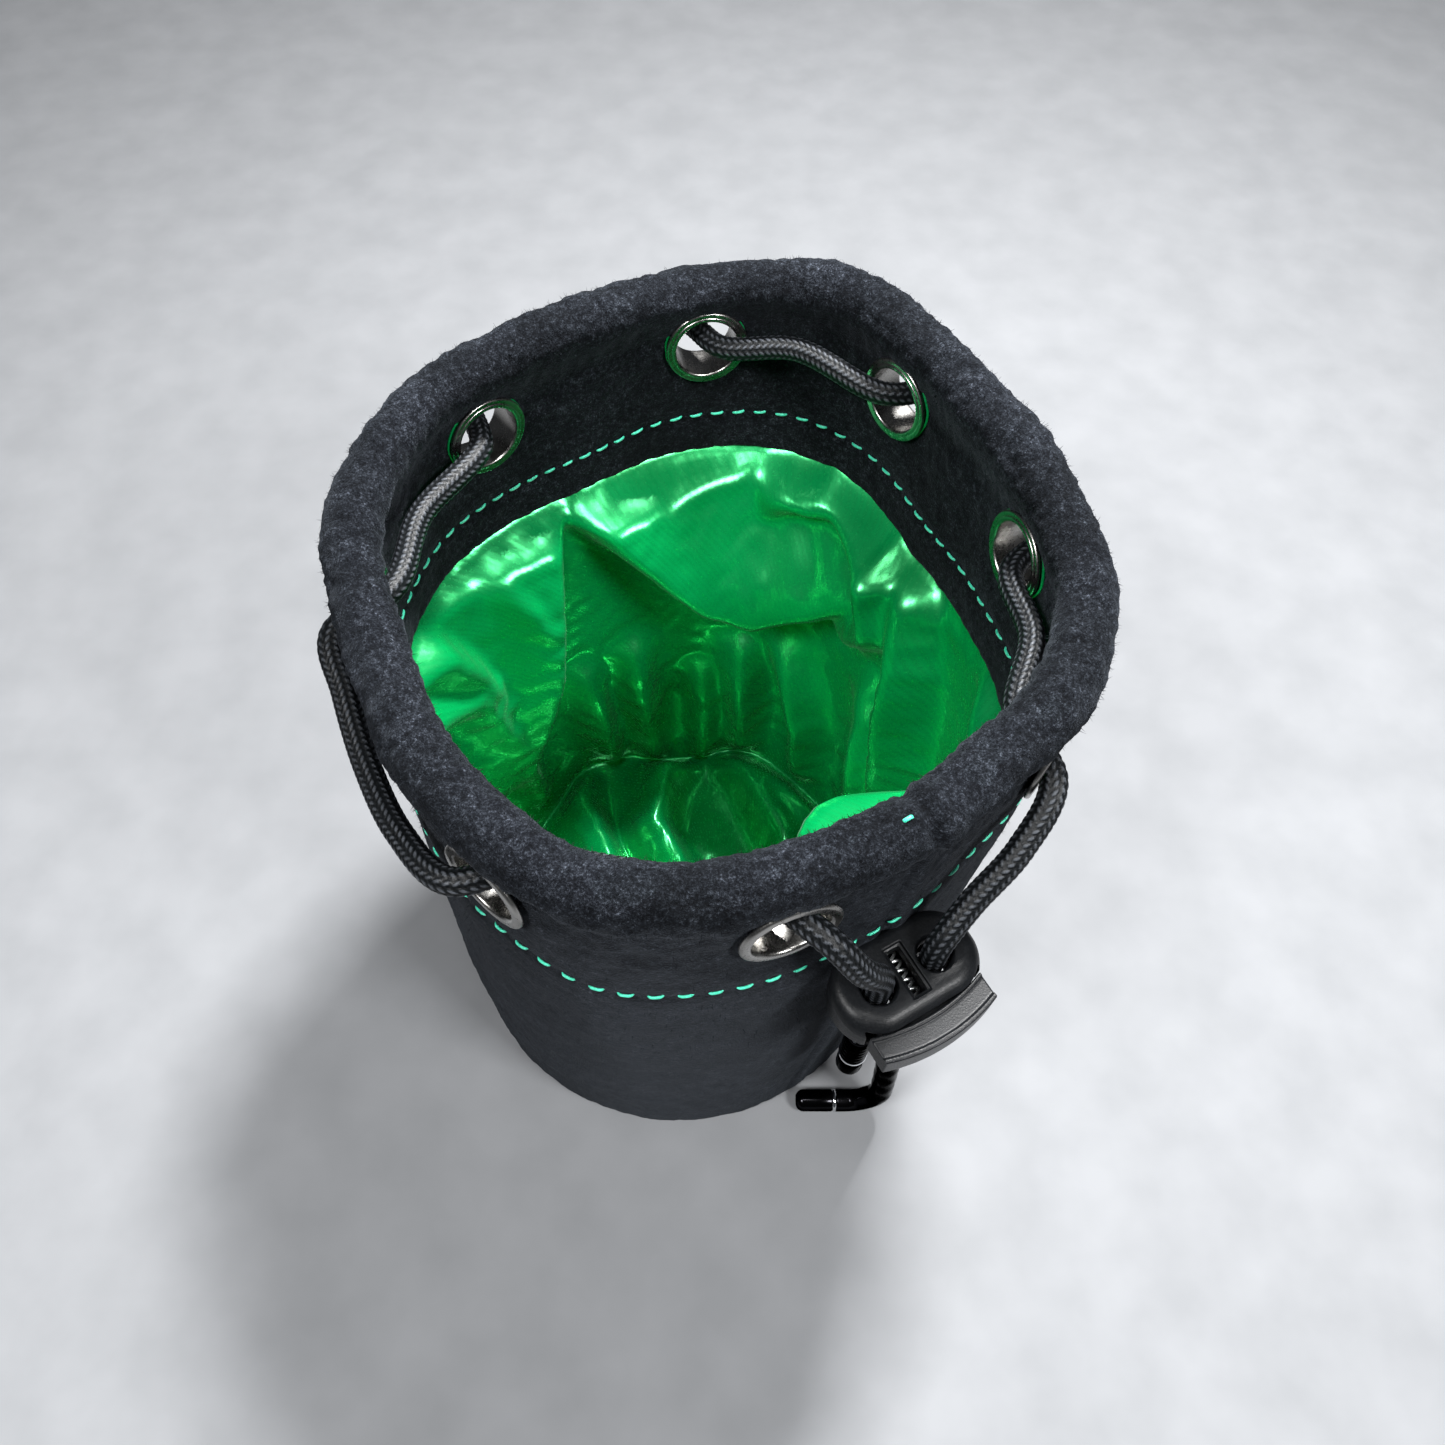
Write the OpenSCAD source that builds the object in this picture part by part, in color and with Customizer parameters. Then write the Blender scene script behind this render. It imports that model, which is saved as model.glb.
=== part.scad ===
// Drawstring dice bag: a round suede bag that stands open, with a loose satin lining,
// eight eyelets, a braided drawstring and a sprung cord lock.
// Origin: middle of the base, on the surface it stands on. +Z up, -Y the side with the lock.

/* [Bag] */
// Height from the base to the top of the rim
bag_h = 140; // [134:1:146]
// Radius of the base
base_r = 50; // [48:0.5:51]
// Mean radius of the mouth
mouth_r = 56; // [55:0.5:57]
// Sideways lean of the mouth, along +X
mouth_dx = 9; // [7:0.5:10]
// Backward lean of the mouth, along +Y
mouth_dy = 7; // [5:0.5:8]
// Thickness of the suede
suede_t = 1.6; // [1.2:0.1:1.8]
// Gap between the wall and its turned-in cuff, where the lining's top edge is held
cuff_gap = 1; // [0.8:0.1:1.2]
// Depth of the cuff below the rim
cuff_h = 40; // [36:1:44]
// Radius of the soft fold at the rim
rim_r = 4.5; // [4.2:0.1:4.8]
// How far the fold stands out over the wall
rim_out = 2; // [1.6:0.1:2.2]

/* [Lining] */
// Thickness of the satin
satin_t = 0.4; // [0.3:0.1:0.5]
// Slack gap between the wall and the lining below the cuff
lining_gap = 1.6; // [1.2:0.1:2]
// Thickness of the stiff insert in the base
insert_t = 1.5; // [1:0.1:2]

/* [Eyelets] */
// Height of the eyelets' centres below the rim
eyelet_drop = 15; // [14:0.5:17]
// Radius of the hole through an eyelet
eyelet_hole_r = 5.6; // [5.4:0.1:5.7]
// Radius of an eyelet's flange
eyelet_flange_r = 7.4; // [7.2:0.1:7.5]

/* [Stitching] */
// Height of the hem stitching below the rim
hem_drop = 32; // [30:0.5:34]
// Number of hem stitches around the bag
hem_count = 86; // [80:1:90]
// Length of a stitch
stitch_l = 2.9; // [2.4:0.1:3.1]

/* [Drawstring] */
// Diameter of the braided cord
cord_d = 4; // [3.6:0.1:4]
// Diameter of the end sleeves
sleeve_d = 4.8; // [4.6:0.1:5]

/* [Cord lock] */
// Width of the lock across its two holes
lock_w = 24; // [23:0.5:25]
// Depth of the lock body from the bag outwards
lock_d = 14; // [13.5:0.5:15]
// Height of the lock body
lock_h = 9; // [8.5:0.5:10]
// Distance between the two cord holes
hole_pitch = 10; // [10:0.5:10]
// Radius of the cord holes
hole_r = 2.6; // [2.4:0.1:2.7]
// How far the plunger can be pressed
press_travel = 3.5; // [3:0.1:3.5]

/* [Hidden] */
$fn = 48;
EYELETS = [for (i = [1:8]) str("eyelet_", i)];
WASHERS = [for (i = [1:8]) str("eyelet_washer_", i)];

SUEDE = "#1d2023";
SATIN = "#0ea04c";
MINT = "#3fd0a8";
GUNMETAL = "#6f706f";
BRAID = "#24262b";
PLASTIC = "#2a2d31";
GLOSS = "#0c0d0f";
STEEL = "#b9bcc0";
BOARD = "#4a4640";

steps = 48;            // flats around the bag
bulge_h = 120;         // height at which the wall has reached the mouth's radius
mouth_waves = [[2, 1.5, 90], [3, 0.5, -50], [4, 2.5, -16]];   // waves around, size, angle of a crest
eyelet_angles = [139, 92, 50, 8, -31, -79, -121, -176];
side_seam_angle = -60;
lining_seam_angle = 12;
slip = 0.1;            // clearance between neighbouring pieces
floor_t = suede_t + insert_t;
wall_stack = 2 * suede_t + cuff_gap;
eyelet_z = bag_h - eyelet_drop;
hem_z = bag_h - hem_drop;
cuff_z = bag_h - cuff_h;
cord_r = cord_d / 2;
sleeve_r = sleeve_d / 2;

// Where the lock hangs, how it is turned, and how deep its parts are
lock_at = [37, -48.5, 101];
lock_turn = 30;
plate_t = 3.2;
plate_w = 15.4;
cavity_back = lock_d / 2 - 1.6;
button_w = 19.5;
button_h = 5.4;
button_l = 4.3;
button_back = -6.9;
button_arc_r = 30;
spring_r = 1.4;
spring_turns = 6;
wire_r = 0.25;
spring_seat = -4;      // the plunger's end of the spring, from the lock's middle

// The cord's whole route: short tail, lock, in and out of eyelets 6, 7, 8, 1, 2, 3, 4 and 5,
// lock again, long tail, and along the surface that the bag stands on
route = [
    [32.7, -51, 68], [32.7, -51, 80], [32.7, -51, 94], [32.7, -51, 107], [31.6, -52, 113],
    [28.6, -53, 119], [23.3, -50.3, 125], [13.8, -43.7, 125], [-0.5, -41.5, 124.5],
    [-14.9, -39.6, 125], [-26.4, -42.6, 125], [-35, -34.5, 122.5], [-41.5, -23.5, 121.5],
    [-46.2, -12, 123], [-49, -2.3, 125], [-41, 6.7, 125], [-39, 21.5, 124.5],
    [-30.9, 35.1, 125], [-32.6, 47.3, 125], [-15.5, 60, 124], [1.1, 66.9, 125],
    [10.2, 58.4, 126], [23.5, 56, 127.5], [37, 47.4, 126], [49, 47.7, 125],
    [58.5, 34, 124], [63.1, 18.8, 125], [55.2, 8.9, 125.3], [56.3, -4.3, 126.6],
    [52.8, -16.4, 125.5], [56.6, -27.4, 125], [52.3, -35.3, 119.5], [46, -41, 113.5],
    [42, -45.1, 108.5], [41.3, -46, 103], [41.3, -46, 90], [41.3, -46, 74], [42.5, -46, 46],
    [44, -46, 22], [44.3, -46, 11], [41.7, -46, 4.9], [39.6, -46, 3], [37.4, -46, 2.6],
    [35.5, -46, 2.6]
];
ring_per_leg = 2;
short_end = ring_per_leg;                          // ring where the short tail enters its sleeve
long_end = ring_per_leg * 37;                      // ring where the long tail enters its sleeve

function unit(v) = v / norm(v);
function clamp01(t) = min(1, max(0, t));

// Radius of the mouth at angle a
function mouth_radius(a) = mouth_r + [for (w = mouth_waves) w[1] * cos(w[0] * (a - w[2]))] * [1, 1, 1];
// Radius of the wall's outside at angle a and height z
function wall_radius(a, z) = base_r + (mouth_radius(a) - base_r) * sin(90 * clamp01(z / bulge_h));
// A point of the wall, inset from its outside
function wall_point(a, z, inset) =
    [mouth_dx, mouth_dy, 0] * z / bag_h + [0, 0, z]
    + (wall_radius(a, z) - inset) * [cos(a), sin(a), 0];
// Direction around the wall, direction up the wall, and the way the wall faces
function wall_along(a, z) = unit(wall_point(a + 1, z, 0) - wall_point(a - 1, z, 0));
function wall_up(a, z) = unit(wall_point(a, z + 2, 0) - wall_point(a, z - 2, 0));
function wall_out(a, z) = unit(cross(wall_along(a, z), wall_up(a, z)));

// Children stand at that point of the wall: +X out of the bag, +Y around it, +Z up the wall
module on_wall(a, z, inset = 0) {
    out = wall_out(a, z);
    along = wall_along(a, z);
    up = cross(out, along);
    at = wall_point(a, z, inset);
    multmatrix([
        [out[0], along[0], up[0], at[0]],
        [out[1], along[1], up[1], at[1]],
        [out[2], along[2], up[2], at[2]],
        [0, 0, 0, 1]
    ]) children();
}

// A skin that follows the wall all the way round. The outline holds [inset, height] points,
// anticlockwise when the inset grows to the left
module wall_skin(outline) {
    n = len(outline);
    points = [
        for (i = [0:steps - 1])
            for (p = outline)
                wall_point(i * 360 / steps, p[1], p[0])
    ];
    faces = [
        for (i = [0:steps - 1])
            for (j = [0:n - 1])
                let (
                    a = i * n + j,
                    b = i * n + (j + 1) % n,
                    c = ((i + 1) % steps) * n + (j + 1) % n,
                    d = ((i + 1) % steps) * n + j
                )
                each [[a, b, c], [a, c, d]]
    ];
    polyhedron(points, faces);
}

// Points of a half circle over the rim's fold, from the outside to the inside
function fold(r, count) = [
    for (k = [0:count])
        let (t = 180 * k / count)
        [rim_r - rim_out - r * cos(t), bag_h - rim_r + r * sin(t)]
];

module eyelet_holes() {
    for (a = eyelet_angles)
        on_wall(a, eyelet_z)
            rotate([0, 90, 0])
                cylinder(r = eyelet_hole_r + 0.5, h = 4 * wall_stack, center = true);
}

// Suede wall with the rim folded over and the cuff turned in
module outer_wall() {
    ease_z = bag_h - rim_r - 3;
    inner_heights = [for (z = [90, 70, 50, 32, 16]) z];
    outer_heights = [for (z = [16, 32, 50, 70, 90, 110]) z];
    outline = concat(
        [[0.6, 0], [0, 2]],
        [for (z = outer_heights) [0, z]],
        [[0, ease_z]],
        fold(rim_r, 6),
        [[wall_stack, ease_z], [wall_stack, hem_z], [wall_stack, cuff_z]],
        [[suede_t + cuff_gap, cuff_z], [suede_t + cuff_gap, hem_z], [suede_t + cuff_gap, ease_z]],
        [for (p = [4:-1:0]) fold(rim_r - suede_t, 4)[p]],
        [[suede_t, ease_z], [suede_t, 110]],
        [for (z = inner_heights) [suede_t, z]],
        [[suede_t, 0]]
    );
    color(SUEDE)
        difference() {
            wall_skin(outline);
            eyelet_holes();
        }
}

module base_disc() {
    color(SUEDE)
        cylinder(r = base_r - suede_t - 3 * slip, h = suede_t);
}

module base_insert() {
    color(BOARD)
        translate([0, 0, suede_t])
            cylinder(r = base_r - suede_t - 2.5, h = insert_t);
}

// Satin tube, its top edge held between the wall and the cuff
module lining_wall() {
    low = suede_t + lining_gap;
    high = suede_t + (cuff_gap - satin_t) / 2;
    top = bag_h - 9;
    heights = [16, 32, 50, 70, 88];
    outline = concat(
        [for (z = concat([floor_t + slip], heights)) [low, z]],
        [[high, cuff_z - 2], [high, 110], [high, top]],
        [[high + satin_t, top], [high + satin_t, 110], [high + satin_t, cuff_z - 2]],
        [for (k = [len(heights) - 1:-1:0]) [low + satin_t, heights[k]]],
        [[low + satin_t, floor_t + slip]]
    );
    color(SATIN)
        difference() {
            wall_skin(outline);
            eyelet_holes();
        }
}

module lining_bottom() {
    color(SATIN)
        translate([0, 0, floor_t])
            cylinder(r = base_r - suede_t - lining_gap - satin_t - 0.6, h = satin_t);
}

// Flanged barrel of an eyelet, its axis out of the bag
module eyelet(a) {
    barrel_r = eyelet_hole_r + 0.4;
    inner_end = wall_stack + 1.9;
    color(GUNMETAL)
        on_wall(a, eyelet_z)
            rotate([0, 90, 0])
                rotate_extrude()
                    polygon([
                        [eyelet_hole_r, -inner_end], [barrel_r, -inner_end],
                        [barrel_r, slip], [eyelet_flange_r, slip],
                        [eyelet_flange_r, 0.5], [eyelet_flange_r - 0.4, 0.9],
                        [barrel_r + 0.2, 1], [eyelet_hole_r, 0.5]
                    ]);
}

// Ring that the eyelet's barrel is pressed into, on the inside of the cuff
module eyelet_washer(a) {
    bore_r = eyelet_hole_r + 0.45;
    color(GUNMETAL)
        on_wall(a, eyelet_z)
            translate([-wall_stack - 1, 0, 0])
                rotate([0, 90, 0])
                    rotate_extrude()
                        polygon([
                            [bore_r, -0.9], [bore_r, 0], [eyelet_flange_r, 0],
                            [eyelet_flange_r, -0.4], [eyelet_flange_r - 0.4, -0.8]
                        ]);
}

// One thread stitch lying along the wall
module stitch(a, z, inset, size) {
    on_wall(a, z, inset)
        cube(size, center = true);
}

// Mint thread through wall, lining and cuff, seen on both sides
module hem_stitching() {
    color(MINT)
        for (i = [0:hem_count - 1]) {
            stitch(i * 360 / hem_count, hem_z, -0.5, [0.6, stitch_l, 0.7]);
            stitch(i * 360 / hem_count, hem_z, wall_stack + 0.55, [0.6, stitch_l, 0.7]);
        }
}

// Thread that joins the base disc to the wall, inside
module base_stitching() {
    count = 72;
    color(BRAID)
        for (i = [0:count - 1])
            rotate([0, 0, i * 360 / count])
                translate([base_r - suede_t - 1.6, 0, suede_t + 0.25])
                    cube([0.6, stitch_l, 0.5], center = true);
}

// Thread of the wall's only upright seam
module side_seam_thread() {
    color(MINT)
        for (z = [8:4:92])
            stitch(side_seam_angle, z, suede_t + 0.5, [0.6, 0.6, stitch_l]);
}

// Thread of the lining's upright seam
module lining_seam_thread() {
    color(SATIN)
        for (z = [10:4:84])
            stitch(lining_seam_angle, z, suede_t + lining_gap + satin_t + 0.5, [0.6, 0.6, stitch_l]);
}

// Tack stitch that gathers the lining at the back edge of its bottom
module lining_tack() {
    color(MINT)
        translate([5.3, base_r - 6.7, floor_t + satin_t])
            cylinder(r1 = 1.2, r2 = 0.6, h = 0.8);
}

// A smooth path through the route: ring_per_leg rings for each leg
function blend_point(p0, p1, p2, p3, t) =
    0.5 * (2 * p1 + (p2 - p0) * t + (2 * p0 - 5 * p1 + 4 * p2 - p3) * t * t
        + (3 * p1 - p0 - 3 * p2 + p3) * t * t * t);
last_point = len(route) - 1;
path = concat(
    [
        for (i = [0:last_point - 1])
            for (k = [0:ring_per_leg - 1])
                blend_point(
                    route[max(i - 1, 0)], route[i], route[i + 1], route[min(i + 2, last_point)],
                    k / ring_per_leg
                )
    ],
    [route[last_point] + slip * unit(route[last_point - 1] - route[last_point]), route[last_point]]
);
function heading(line, i) = unit(line[min(i + 1, len(line) - 1)] - line[max(i - 1, 0)]);
function square_to(v, d) = unit(v - (v * d) * d);

// A round tube along a line of points, from one of them to another
module tube(line, first, last, r, sides) {
    sideways = [
        for (i = first, v = square_to([0.6, 0.5, 0.62], heading(line, first));
            i <= last;
            i = i + 1, v = square_to(v, heading(line, min(i, last)))) v
    ];
    points = [
        for (i = [first:last])
            for (k = [0:sides - 1])
                let (
                    u = sideways[i - first],
                    w = cross(heading(line, i), u)
                )
                line[i] + r * (u * cos(360 * k / sides) + w * sin(360 * k / sides))
    ];
    rings = last - first;
    skin = [
        for (i = [0:rings - 1])
            for (k = [0:sides - 1])
                let (
                    a = i * sides + k,
                    b = i * sides + (k + 1) % sides
                )
                each [[a, b + sides, b], [a, a + sides, b + sides]]
    ];
    ends = [
        [for (k = [0:sides - 1]) k],
        [for (k = [sides - 1:-1:0]) rings * sides + k]
    ];
    polyhedron(points, concat(skin, ends));
}

// Braided cord between its two end sleeves
module drawstring() {
    color(BRAID)
        tube(path, short_end, long_end, cord_r, 10);
}

// Round end pieces turned about +Z, from z = 0 downwards
module ring_shape() {
    translate([0, 0, -0.8])
        cylinder(r = sleeve_r + 0.2, h = 0.8);
}

module cap_shape() {
    cap_l = 9;
    rotate_extrude()
        polygon(concat(
            [[0, -0.8], [sleeve_r, -0.8]],
            [
                for (t = [0:15:90])
                    [(sleeve_r - 1.4) + 1.4 * cos(t), 1.4 - cap_l - 1.4 * sin(t)]
            ],
            [[0, -cap_l]]
        ));
}

module at_long_end() {
    translate(route[last_point])
        rotate([0, 90, 0])
            children();
}

module at_short_end() {
    translate(route[0])
        children();
}

module tail_sleeve_long() {
    color(GLOSS)
        tube(path, long_end, len(path) - 1, sleeve_r, 12);
}

module tail_sleeve_short() {
    color(GLOSS)
        at_short_end()
            cylinder(r = sleeve_r, h = route[1][2] - route[0][2]);
}

module tail_ring_long() {
    color(STEEL)
        at_long_end()
            ring_shape();
}

module tail_ring_short() {
    color(STEEL) at_short_end() ring_shape();
}

module tail_cap_long() {
    color(GLOSS) at_long_end() cap_shape();
}

module tail_cap_short() {
    color(GLOSS) at_short_end() cap_shape();
}

// The lock's own frame: +X across the two holes, +Y towards the bag, +Z up
module at_lock() {
    translate(lock_at)
        rotate([0, 0, lock_turn])
            children();
}

// Rounded oblong: end_r is the radius of its corners seen from above, edge the rounding of its rims
module pebble(w, d, h, end_r, edge) {
    hull()
        for (side = [-1, 1], depth = [-1, 1])
            translate([side * (w / 2 - end_r), depth * (d / 2 - end_r), 0])
                for (lift = [0, 30, 60, 90])
                    cylinder(
                        r = end_r - edge * (1 - cos(lift)),
                        h = h - 2 * edge * (1 - sin(lift)),
                        center = true,
                        $fn = 32
                    );
}

// Everything in front of a shallow arc whose middle is at y
module ahead_of_arc(y, w, h) {
    difference() {
        translate([-w / 2, y - lock_d, -h / 2])
            cube([w, lock_d + w / 4, h]);
        translate([0, y + button_arc_r, 0])
            cylinder(r = button_arc_r, h = 2 * h, center = true, $fn = 128);
    }
}

module lock_body() {
    window = [2.2, 7.4, lock_h];
    color(PLASTIC)
        at_lock()
            difference() {
                pebble(lock_w, lock_d, lock_h, 6.6, 1.8);
                for (side = [-1, 1])
                    translate([side * hole_pitch / 2, 0, 0])
                        cylinder(r = hole_r, h = 2 * lock_h, center = true);
                translate([-plate_w / 2 - 0.3, -lock_d, -plate_t / 2 - 0.25])
                    cube([plate_w + 0.6, lock_d + cavity_back, plate_t + 0.5]);
                ahead_of_arc(button_back + press_travel + 0.2, button_w + 0.6, button_h + 0.5);
                translate([-window[0] / 2, -window[1] / 2, 0])
                    cube(window);
            }
}

// Sprung plate with a slot for each strand and the curved button that is pressed
module lock_plunger() {
    plate_front = button_back - 1;
    plate_back = cavity_back - press_travel - 0.2;
    color(PLASTIC)
        at_lock()
            difference() {
                union() {
                    translate([-plate_w / 2, plate_front, -plate_t / 2])
                        cube([plate_w, plate_back - plate_front, plate_t]);
                    difference() {
                        ahead_of_arc(button_back, button_w, button_h);
                        ahead_of_arc(button_back - button_l, button_w + 1, button_h + 1);
                    }
                }
                for (side = [-1, 1])
                    hull()
                        for (y = [0, -press_travel - 0.3])
                            translate([side * hole_pitch / 2, y, 0])
                                cylinder(r = cord_r + 0.12, h = 2 * plate_t, center = true, $fn = 32);
                translate([-spring_r - 0.3, spring_seat, -plate_t])
                    cube([2 * spring_r + 0.6, lock_d, 2 * plate_t]);
            }
}

// Compression spring between the plunger and the back of the lock's cavity
module lock_spring() {
    spring_l = cavity_back - spring_seat - 0.4 - 2 * wire_r;
    coil = [
        for (k = [0:12 * spring_turns])
            let (
                turn = 30 * k,
                along = spring_l * k / (12 * spring_turns)
            )
            [(spring_r - wire_r) * cos(turn), along, (spring_r - wire_r) * sin(turn)]
    ];
    color(STEEL)
        at_lock()
            translate([0, spring_seat + 0.2 + wire_r, 0])
                tube(coil, 0, len(coil) - 1, wire_r, 6);
}

outer_wall();
base_disc();
base_insert();
lining_wall();
lining_bottom();
hem_stitching();
base_stitching();
side_seam_thread();
lining_seam_thread();
lining_tack();
drawstring();
lock_body();
lock_plunger();
lock_spring();
tail_sleeve_long();
tail_ring_long();
tail_cap_long();
tail_sleeve_short();
tail_ring_short();
tail_cap_short();
for (i = [0:7]) {
    eyelet(eyelet_angles[i]);
    eyelet_washer(eyelet_angles[i]);
}
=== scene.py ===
"""Looks of the drawstring dice bag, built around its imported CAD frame. Metres, and angles in degrees."""

import math

import bmesh
import bpy
import numpy as np
from mathutils import Matrix, Vector, noise


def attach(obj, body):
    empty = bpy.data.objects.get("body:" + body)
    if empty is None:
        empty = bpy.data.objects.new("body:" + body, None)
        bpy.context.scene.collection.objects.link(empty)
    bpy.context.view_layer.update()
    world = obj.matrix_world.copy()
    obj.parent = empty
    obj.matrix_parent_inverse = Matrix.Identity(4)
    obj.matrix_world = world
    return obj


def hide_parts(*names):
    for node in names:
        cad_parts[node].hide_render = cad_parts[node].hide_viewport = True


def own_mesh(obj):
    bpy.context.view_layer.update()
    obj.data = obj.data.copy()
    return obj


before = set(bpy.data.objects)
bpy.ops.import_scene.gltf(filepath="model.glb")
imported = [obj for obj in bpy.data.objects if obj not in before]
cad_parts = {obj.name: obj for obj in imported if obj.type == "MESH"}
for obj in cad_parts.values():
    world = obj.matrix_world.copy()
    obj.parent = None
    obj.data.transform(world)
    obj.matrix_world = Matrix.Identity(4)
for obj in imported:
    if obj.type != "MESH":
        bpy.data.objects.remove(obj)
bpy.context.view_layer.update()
MM = 0.001

# ---- sizes of the design
BAG_H = 140 * MM
BASE_R = 50 * MM
MOUTH_R = 56 * MM
MOUTH_LEAN = np.array([9, 7, 0]) * MM
BULGE_H = 120 * MM
MOUTH_WAVES = [(2, 1.5 * MM, 90), (3, 0.5 * MM, -50), (4, 2.5 * MM, -16)]
SUEDE_T = 1.6 * MM
CUFF_INSET = 4.2 * MM          # from the wall's outside to the cuff's inner face
RIM_R = 4.5 * MM
RIM_OUT = 2 * MM
CUFF_Z = 100 * MM
HEM_Z = 108 * MM
HEM_COUNT = 86
HEM_SUNK = 0.35 * MM           # how deep the stitches' ends sit in the suede
THREAD_R = 0.27 * MM
THREAD_LIFT = 0.26 * MM
EYELET_Z = 125 * MM
EYELET_ANGLES = [139, 92, 50, 8, -31, -79, -121, -176]
EYELET_HOLE_R = 5.6 * MM
EYELET_FLANGE_R = 7.4 * MM
SIDE_SEAM_ANGLE = -60
FLOOR_T = 3.1 * MM             # base disc and its insert, under the lining
CORD_R = 2 * MM
SLEEVE_R = 2.4 * MM
LOCK_AT = Vector((0.037, -0.0485, 0.101))
LOCK_TURN = 30
PRESS_TRAVEL = 3.5 * MM
CLOTH_R = 50 * MM              # radius that the lining's distances around are measured at
CAMERA_AT = (0.010, -0.100, 0.267)
CAMERA_TILT = 30
CAMERA_LENS = 28.2
LAMP_AIM = (0, 0, 0.08)

# The cord's route: short tail, lock, in and out of eyelets 6, 7, 8, 1, 2, 3, 4 and 5, lock, long tail, floor
ROUTE = MM * np.array([
    (32.7, -51, 68), (32.7, -51, 80), (32.7, -51, 94), (32.7, -51, 107), (31.6, -52, 113),
    (28.6, -53, 119), (23.3, -50.3, 125), (13.8, -43.7, 125), (-0.5, -41.5, 124.5), (-14.9, -39.6, 125),
    (-26.4, -42.6, 125), (-35, -34.5, 122.5), (-41.5, -23.5, 121.5), (-46.2, -12, 123),
    (-49, -2.3, 125), (-41, 6.7, 125), (-39, 21.5, 124.5), (-30.9, 35.1, 125), (-32.6, 47.3, 125),
    (-15.5, 60, 124), (1.1, 66.9, 125), (10.2, 58.4, 126), (23.5, 56, 127.5), (37, 47.4, 126),
    (49, 47.7, 125), (58.5, 34, 124), (63.1, 18.8, 125), (55.2, 8.9, 125.3), (56.3, -4.3, 126.6),
    (52.8, -16.4, 125.5), (56.6, -27.4, 125), (52.3, -35.3, 119.5), (46, -41, 113.5),
    (42, -45.1, 108.5), (41.3, -46, 103), (41.3, -46, 90), (41.3, -46, 74), (42.5, -46, 46),
    (44, -46, 22), (44.3, -46, 11), (41.7, -46, 4.9), (39.6, -46, 3), (37.4, -46, 2.6),
    (35.5, -46, 2.6),
])
LONG_SLEEVE_FROM = 37          # the route point where the long tail enters its sleeve
SHORT_SLEEVE_TO = 1            # the route point where the short tail leaves its sleeve


# ---- camera
def make_camera():
    data = bpy.data.cameras.new("camera")
    data.sensor_width = 36
    data.lens = CAMERA_LENS
    camera = bpy.data.objects.new("camera", data)
    camera.location = CAMERA_AT
    camera.rotation_euler = (math.radians(CAMERA_TILT), 0, 0)
    bpy.context.scene.collection.objects.link(camera)
    bpy.context.scene.camera = camera


# ---- mesh helpers
def piece_of(name, points, faces, material, smooth=True):
    """A mesh object from arrays of points and faces."""
    mesh = bpy.data.meshes.new(name)
    mesh.from_pydata([tuple(p) for p in np.asarray(points)], [], [tuple(f) for f in faces])
    mesh.validate()
    mesh.polygons.foreach_set("use_smooth", [smooth] * len(mesh.polygons))
    mesh.materials.append(material)
    obj = bpy.data.objects.new(name, mesh)
    bpy.context.scene.collection.objects.link(obj)
    return obj


def finish_piece(obj, body, slot, *nodes):
    """The piece rides on a body and stands for CAD nodes, which it hides; the slot is not used."""
    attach(obj, body)
    if nodes:
        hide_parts(*nodes)
    return obj


def ring_faces(rows, around, closed_rows=False):
    """Quads of a grid of rows, each closed around; the last row may join the first."""
    i = np.arange(rows if closed_rows else rows - 1)[:, None]
    k = np.arange(around)[None, :]
    a = i * around + k
    b = i * around + (k + 1) % around
    c = ((i + 1) % rows) * around + (k + 1) % around
    d = ((i + 1) % rows) * around + k
    return np.stack([a, b, c, d], axis=-1).reshape(-1, 4)


def capped_faces(rows, around):
    """Quads of a tube of rings, and a flat face at each end."""
    last = (rows - 1) * around
    ends = [tuple(range(around))[::-1], tuple(last + k for k in range(around))]
    return [tuple(f) for f in ring_faces(rows, around)] + ends


def apply_modifiers(obj):
    """Bakes the object's modifiers into its mesh."""
    depsgraph = bpy.context.evaluated_depsgraph_get()
    made = bpy.data.meshes.new_from_object(obj.evaluated_get(depsgraph), depsgraph=depsgraph)
    obj.modifiers.clear()
    old = obj.data
    obj.data = made
    bpy.data.meshes.remove(old)
    return obj


def cut(obj, cutters, operation="DIFFERENCE"):
    """Booleans the cutters into obj and removes them."""
    for cutter in cutters:
        modifier = obj.modifiers.new("cut", "BOOLEAN")
        modifier.operation = operation
        modifier.solver = "MANIFOLD"
        modifier.object = cutter
    apply_modifiers(obj)
    for cutter in cutters:
        bpy.data.objects.remove(cutter)
    return obj


def soften(obj, voxel, rounds):
    """Remeshes a hard-edged solid and smooths it, which rounds every edge as moulding does."""
    remesh = obj.modifiers.new("remesh", "REMESH")
    remesh.mode = "VOXEL"
    remesh.voxel_size = voxel
    remesh.use_smooth_shade = True
    smooth = obj.modifiers.new("smooth", "SMOOTH")
    smooth.factor = 0.5
    smooth.iterations = rounds
    return apply_modifiers(obj)


def values_of(items, key, width=3):
    """One row of values for each vertex or face."""
    values = np.empty(len(items) * width, np.float32)
    items.foreach_get(key, values)
    return values.reshape(-1, width).astype(float)


def points_of(obj):
    return values_of(obj.data.vertices, "co")


def set_points(obj, points):
    obj.data.vertices.foreach_set("co", np.asarray(points, np.float32).ravel())
    obj.data.update()


def noise_at(points, size, seed=0.0):
    """Smooth noise from -1 to 1 whose lumps are about size wide."""
    shift = Vector((seed, seed * 1.7, -seed))
    return np.array([noise.noise(Vector(p) / size + shift) for p in points])


def smoothstep(low, high, x):
    t = np.clip((np.asarray(x, float) - low) / (high - low), 0, 1)
    return t * t * (3 - 2 * t)


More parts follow.
